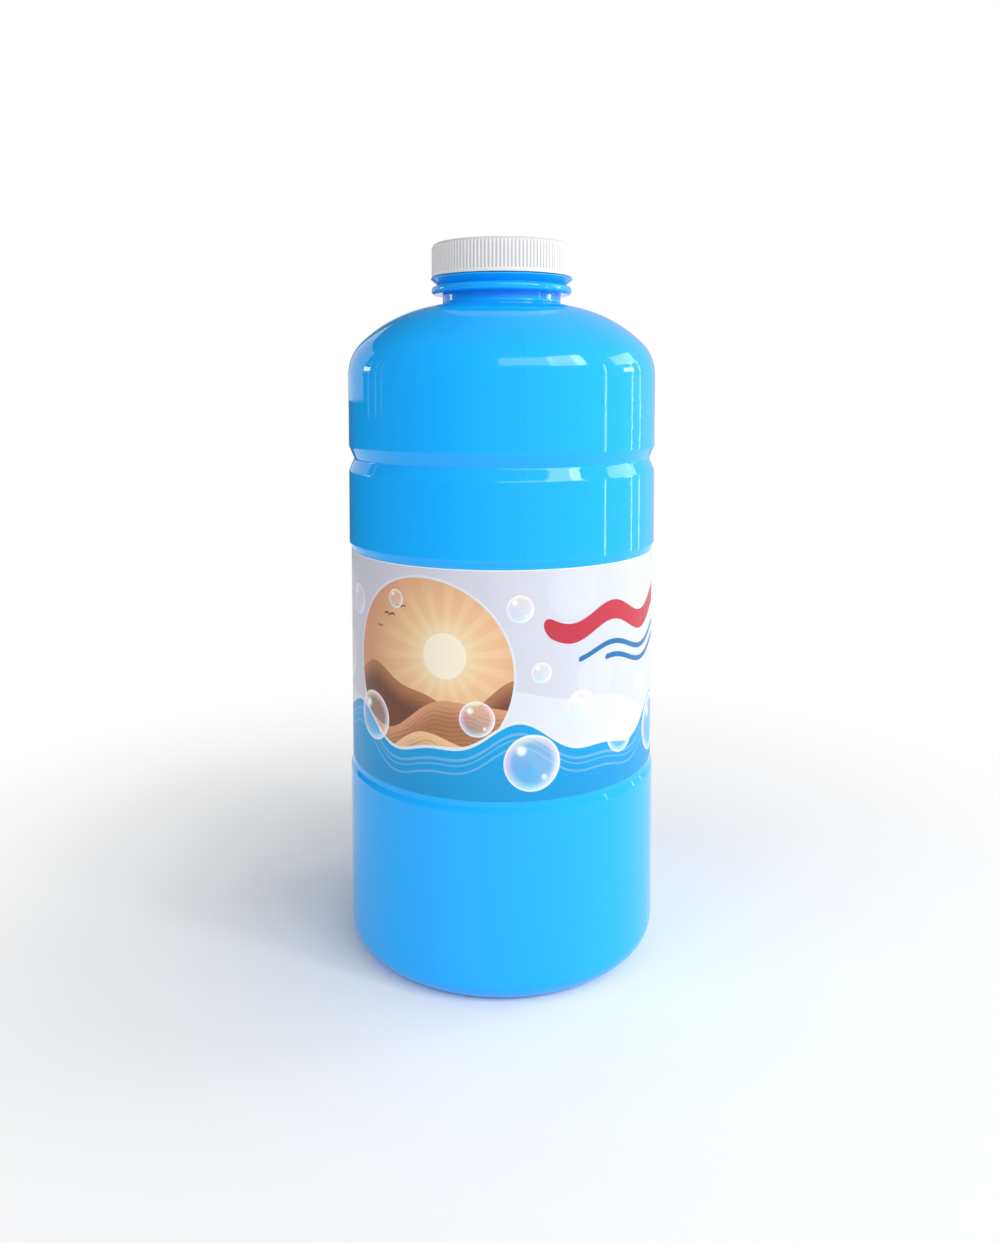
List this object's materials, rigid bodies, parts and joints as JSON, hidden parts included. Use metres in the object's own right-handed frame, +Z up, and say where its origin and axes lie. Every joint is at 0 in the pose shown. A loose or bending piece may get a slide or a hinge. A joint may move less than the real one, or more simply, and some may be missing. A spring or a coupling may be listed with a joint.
{
  "type": "liquid soap bottle",
  "caption": "Round two litre soap bottle with a domed shoulder, a grip groove, a sunk wrap-round label, a double-ringed neck and a ribbed screw cap that unscrews and lifts.",
  "frame": {"origin": "middle of the foot's standing ring, on the surface that the bottle stands on", "axes": "+Z up along the bottle's axis; the label's front faces -Y, its lap faces +Y, and +X is to the right in the front view"},
  "size_m": [0.112, 0.112, 0.2544],
  "materials": {
    "bottle_plastic": "gloss",
    "label_film": "satin",
    "cap_plastic": "satin",
    "liner_foam": "matte",
    "soap": "polished"
  },
  "bodies": {
    "bottle": {"bottle": "bottle_plastic", "label": "label_film", "liquid_soap": "soap"},
    "liner": {"cap_liner": "liner_foam"},
    "cap": {"cap": "cap_plastic"}
  },
  "joints": [
    {"name": "cap_lift", "type": "slide", "parent": "bottle", "child": "liner", "axis": [0, 0, 1], "range_m": [0, 0.0127]},
    {"name": "cap_turn", "type": "hinge", "parent": "liner", "child": "cap", "pos_m": [0, 0, 0.2423], "axis": [0, 0, 1], "range_deg": [0, 1080]}
  ],
  "couplings": [
    {"joint": "cap_lift", "follows": "cap_turn", "m_per_rad": 0.00067375}
  ]
}
